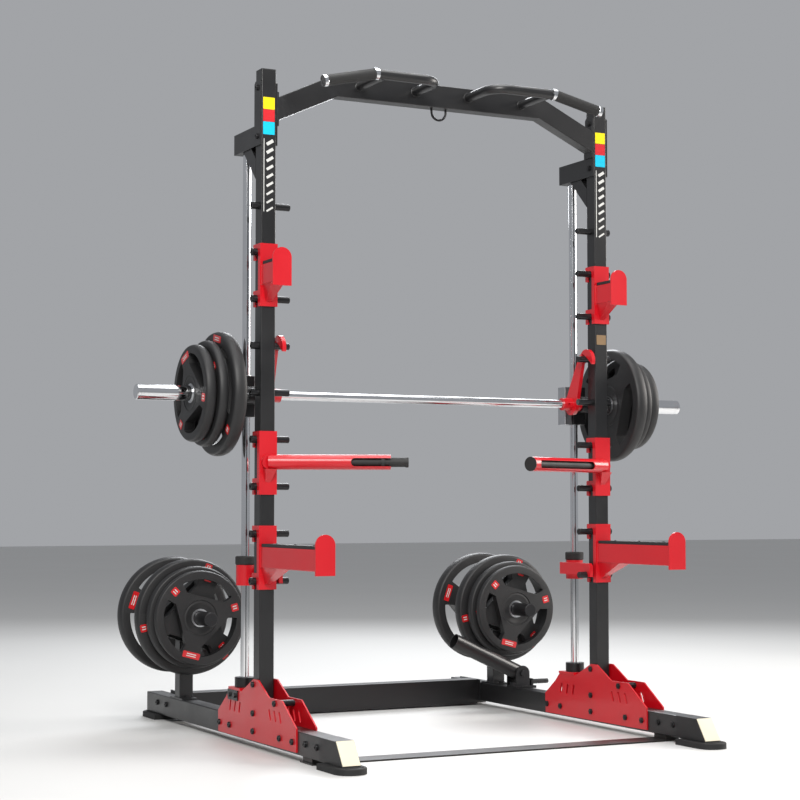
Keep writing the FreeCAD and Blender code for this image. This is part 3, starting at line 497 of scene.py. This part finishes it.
def build_plates():
    """Every plate, on the bar and in storage."""
    for side, sign in SIDES:
        node = side_name("bar_plates", side)
        low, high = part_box(node)
        inner = low.x if sign > 0 else -high.x
        y, z = (low.y + high.y) / 2, (low.z + high.z) / 2
        hang_set("bar_plate_" + side, node, "sleeve_" + side[0], BAR_PLATES,
                 lambda out: Vector((sign * (inner + out), y, z)),
                 Matrix.Rotation(sign * math.pi / 2, 4, "Y"))
        facing = Matrix.Rotation(math.pi / 2, 4, "X")
        node = side_name("stored_plates", side)
        low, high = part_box(node)
        x, front, z = (low.x + high.x) / 2, low.y, (low.z + high.z) / 2
        hang_set("stored_plate_" + side, node, "stored_" + side[0], STORED_PLATES,
                 lambda back: Vector((x, front + back, z)), facing)
        low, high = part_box(side_name("rear_plate", side))
        piece = hang_plate("rear_plate_body_" + side, "rear_" + side[0], *REAR_PLATE, (low + high) / 2, facing, -19,
                           ("square", "bar", "square"))
        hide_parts(side_name("rear_plate", side))


# ---- small fittings ----

def screw(place, radius=0.0055):
    """Round-headed screw with a recess, head up along Z."""
    head = turned([(0, 0.0002), (0, radius), (0.0012, radius), (0.0026, radius * 0.72),
                   (0.0031, radius * 0.3), (0.0020, radius * 0.22), (0.0020, 0.0002)], 28)
    return moved(head, place)


def round_bead(points, thickness):
    """Weld bead along a closed path."""
    curve = bpy.data.curves.new("bead", "CURVE")
    curve.dimensions = "3D"
    curve.bevel_depth = thickness
    curve.bevel_resolution = 2
    line = curve.splines.new("POLY")
    line.points.add(len(points) - 1)
    for point, place in zip(line.points, points):
        point.co = (*place, 1)
    line.use_cyclic_u = True
    holder = bpy.data.objects.new("bead", curve)
    scene.collection.objects.link(holder)
    mesh = bmesh.new()
    made = bpy.data.meshes.new_from_object(holder.evaluated_get(bpy.context.evaluated_depsgraph_get()))
    mesh.from_mesh(made)
    bpy.data.objects.remove(holder)
    return mesh


def arm_outline(sign, z0, z1, y):
    """Corner points round an arm's square section, at one depth."""
    x0, x1 = sign * POST_X - TUBE_HALF, sign * POST_X + TUBE_HALF
    return [(x0, y, z0), (x1, y, z0), (x1, y, z1), (x0, y, z1)]


# Arm, its pad, its body, number of screws, depth of its tube.
RESTS = (("j_cup", "j_cup_pad", "j_cup_", 2, 0.065), ("spotter_arm", "spotter_pad", "spotter_", 3, 0.066))


def build_rests():
    """Weld beads and screws on the J-cups and spotter arms."""
    for side, sign in SIDES:
        for stem, pad, body, count, tube_depth in RESTS:
            low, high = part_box(side_name(pad, side))
            screws = bmesh.new()
            for i in range(count):
                y = low.y + (high.y - low.y) * (i + 0.5) / count
                merge_in(screws, screw(Matrix.Translation(((low.x + high.x) / 2, y, high.z - 0.0004))))
            finish_piece(side_name(pad + "_screws", side), screws, SCREW, body + side[0])
            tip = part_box(side_name(stem, side))[0].y + 0.006
            bead = round_bead(arm_outline(sign, low.z - tube_depth, low.z, high.y + 0.003), 0.0026)
            merge_in(bead, round_bead(arm_outline(sign, low.z - tube_depth, low.z, tip), 0.0022))
            finish_piece(side_name(stem + "_welds", side), bead, WELD_RED, body + side[0])


GRIP_INNER = (0.339, 2.144)    # X and Z where a slanting grip starts
GRIP_OUTER = (0.505, 2.106)    # X and Z where it ends
RIB_COUNT = 22
RIB = [(-0.0016, 0.0175), (-0.0012, 0.0184), (0.0012, 0.0184), (0.0016, 0.0175)]
SLEEVE_RING = [(-0.0015, 0.0245), (-0.0008, 0.0253), (0.0008, 0.0253), (0.0015, 0.0245)]
SLEEVE_CAP = [(-0.0002, 0.0001), (-0.0002, 0.0215), (0.0006, 0.0205), (0.0006, 0.0135), (-0.0001, 0.0125),
              (-0.0001, 0.0001)]


def build_grips():
    """Ribbed sleeves on the pull-up grips, and rings and an end cap on each bar sleeve."""
    for side, sign in SIDES:
        low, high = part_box("pull_up_grips")
        start = Vector((sign * GRIP_INNER[0], (low.y + high.y) / 2, GRIP_INNER[1]))
        end = Vector((sign * GRIP_OUTER[0], (low.y + high.y) / 2, GRIP_OUTER[1]))
        way = (end - start).normalized()
        ribs = bmesh.new()
        for i in range(RIB_COUNT):
            place = Matrix.Translation(start.lerp(end, (i + 0.9) / (RIB_COUNT + 1)))
            merge_in(ribs, moved(turned(RIB, 40), place @ way.to_track_quat("Z", "X").to_matrix().to_4x4()))
        finish_piece("pull_up_grip_ribs_" + side, ribs, FINISH["grip_rubber"], "frame")
        low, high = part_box(side_name("sleeve", side))
        rings = bmesh.new()
        spin = Matrix.Rotation(math.pi / 2, 4, "Y")
        axis_y, axis_z = (low.y + high.y) / 2, (low.z + high.z) / 2
        sleeve_end = max(-low.x, high.x)
        for back in (0.012, 0.020):
            place = Matrix.Translation((sign * (sleeve_end - back), axis_y, axis_z)) @ spin
            merge_in(rings, moved(turned(SLEEVE_RING, 72), place))
        finish_piece("sleeve_rings_" + side, rings, FINISH["chrome"], "sleeve_" + side[0])
        outward = Matrix.Rotation(sign * math.pi / 2, 4, "Y")
        place = Matrix.Translation((sign * (sleeve_end - 0.0007), axis_y, axis_z)) @ outward
        finish_piece("sleeve_cap_" + side, moved(turned(SLEEVE_CAP, 60), place), FINISH["loop_steel"],
                     "sleeve_" + side[0])


# Colour, bottom and top of the squares at the head of each upright.
SQUARES = (("yellow", 2.0355, 2.0745), ("crimson", 1.9955, 2.035), ("cyan", 1.9535, 1.995))
STROKE_TOP = 1.928
STROKE_STEP = 0.027
LINE_Z = 1.822
FOIL_Z = 1.343


def build_upright_marks():
    """Colour squares and plain strokes on the fronts of the uprights, and one small patch."""
    slant = Matrix.Rotation(math.radians(32), 4, "Z")
    facing = Matrix.Rotation(math.pi / 2, 4, "X")
    for side, _ in SIDES:
        low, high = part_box(side_name("upright", side))
        front = Matrix.Translation(((low.x + high.x) / 2, low.y, 0)) @ facing
        for name, bottom, top in SQUARES:
            patch = label_patch(0.040, top - bottom - 0.0005, 0.001, 0.0004)
            place = front @ Matrix.Translation((0, (top + bottom) / 2, 0))
            finish_piece("%s_square_%s" % (name, side), moved(patch, place), STRIPE[name], "frame")
        strokes = bmesh.new()
        for i in range(9):
            patch = label_patch(0.026, 0.0105 - 0.0006 * i, 0.0012, 0.0004)
            place = front @ Matrix.Translation((0.004, STROKE_TOP - STROKE_STEP * i, 0)) @ slant
            merge_in(strokes, moved(patch, place))
        line = label_patch(0.0025, 0.236, 0.0008, 0.0004)
        merge_in(strokes, moved(line, front @ Matrix.Translation((-0.0165, LINE_Z, 0))))
        finish_piece("pale_strokes_" + side, strokes, PATCH_PALE, "frame")
    low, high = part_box("upright_right")
    plate = label_patch(0.038, 0.034, 0.002, 0.0006)
    place = Matrix.Translation(((low.x + high.x) / 2, low.y, FOIL_Z)) @ facing
    bronze = bright("bronze foil", (0.50, 0.34, 0.20), (0.3, 0.45))
    finish_piece("bronze_patch", moved(plate, place), bronze, "frame")


# X, Z and radius where each pull-up handle's tubes meet the beam.
HANDLE_JOINTS = ((0.100, 2.145, 0.016), (0.308, 2.141, 0.014))


def build_frame_welds():
    """Weld beads round the storage posts and the pull-up handles."""
    low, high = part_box("storage_posts")
    beads = bmesh.new()
    post_y = (low.y + high.y) / 2
    beam_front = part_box("pull_up_handles")[1].y
    for sign in (-1, 1):
        corners = [(sign * POST_X + dx * TUBE_HALF, post_y + dy * TUBE_HALF, low.z + 0.005)
                   for dx, dy in ((-1, -1), (1, -1), (1, 1), (-1, 1))]
        merge_in(beads, round_bead(corners, 0.0026))
        for x, z, radius in HANDLE_JOINTS:
            ring = [(sign * x + radius * math.cos(a * math.tau / 24), beam_front - 0.001,
                     z + radius * math.sin(a * math.tau / 24)) for a in range(24)]
            merge_in(beads, round_bead(ring, 0.0024))
    finish_piece("frame_welds", beads, WELD, "frame")


def build_foot_ribs():
    """Moulded ribs across the ends of the feet."""
    ribs = bmesh.new()
    low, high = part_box("rubber_feet")
    for sign in (-1, 1):
        for y in (low.y + 0.012, high.y - 0.012):
            inward = 1 if y < 0 else -1
            for i in range(3):
                bar = block((0.070 - 0.006 * (2 - i), 0.004, 0.0016), 0.0006)
                place = Matrix.Translation((sign * POST_X, y + inward * (0.004 + 0.009 * i), high.z + 0.0004))
                merge_in(ribs, moved(bar, place))
    finish_piece("foot_ribs", ribs, FINISH["rubber"], "frame")


build_plates()
build_rests()
build_grips()
build_upright_marks()
build_frame_welds()
build_foot_ribs()


# ---- floor, light and camera ----

def set_stage():
    """Pale floor, soft lights and the camera."""
    mesh = bmesh.new()
    bmesh.ops.create_grid(mesh, x_segments=1, y_segments=1, size=30)
    data = bpy.data.meshes.new("studio_floor")
    mesh.to_mesh(data)
    mesh.free()
    floor = bpy.data.objects.new("studio_floor", data)
    scene.collection.objects.link(floor)
    data.materials.append(coated("studio floor", (0.62, 0.62, 0.61), (0.62, 0.62, 0.61), (0.5, 0.62), grain=80,
                                 depth=0.0001, wear=0.0, patches=0.8, shade=0.96))
    world = bpy.data.worlds.new("studio")
    world.use_nodes = True
    world.node_tree.nodes["Background"].inputs["Color"].default_value = (0.86, 0.88, 0.92, 1)
    world.node_tree.nodes["Background"].inputs["Strength"].default_value = 0.42
    scene.world = world
    for name, place, aim, size, power, colour in (
            ("key", (-2.6, -4.4, 4.2), (0, 0, 1.0), 2.6, 320, (1, 0.98, 0.95)),
            ("side", (4.2, -1.2, 2.4), (0, 0, 1.1), 2.0, 160, (1, 0.95, 0.9)),
            ("rim", (2.2, 4.0, 3.6), (0, 0, 1.2), 2.4, 170, (0.95, 0.97, 1)),
            ("top", (0.3, -0.4, 5.2), (0, 0, 0), 3.0, 130, (1, 1, 1))):
        light = bpy.data.lights.new(name, "AREA")
        light.size = size
        light.energy = power
        light.color = colour
        lamp = bpy.data.objects.new(name, light)
        lamp.location = place
        lamp.rotation_euler = (Vector(aim) - Vector(place)).to_track_quat("-Z", "Y").to_euler()
        scene.collection.objects.link(lamp)
    lens = bpy.data.cameras.new("camera")
    lens.sensor_width = 36
    lens.lens = 83.35
    lens.clip_end = 200
    camera = bpy.data.objects.new("camera", lens)
    camera.location = (-2.9091, -5.6533, 0.7585)
    camera.rotation_euler = (math.radians(93.32), 0, math.radians(-26.81))
    scene.collection.objects.link(camera)
    scene.camera = camera
    scene.view_settings.view_transform = "Standard"


set_stage()
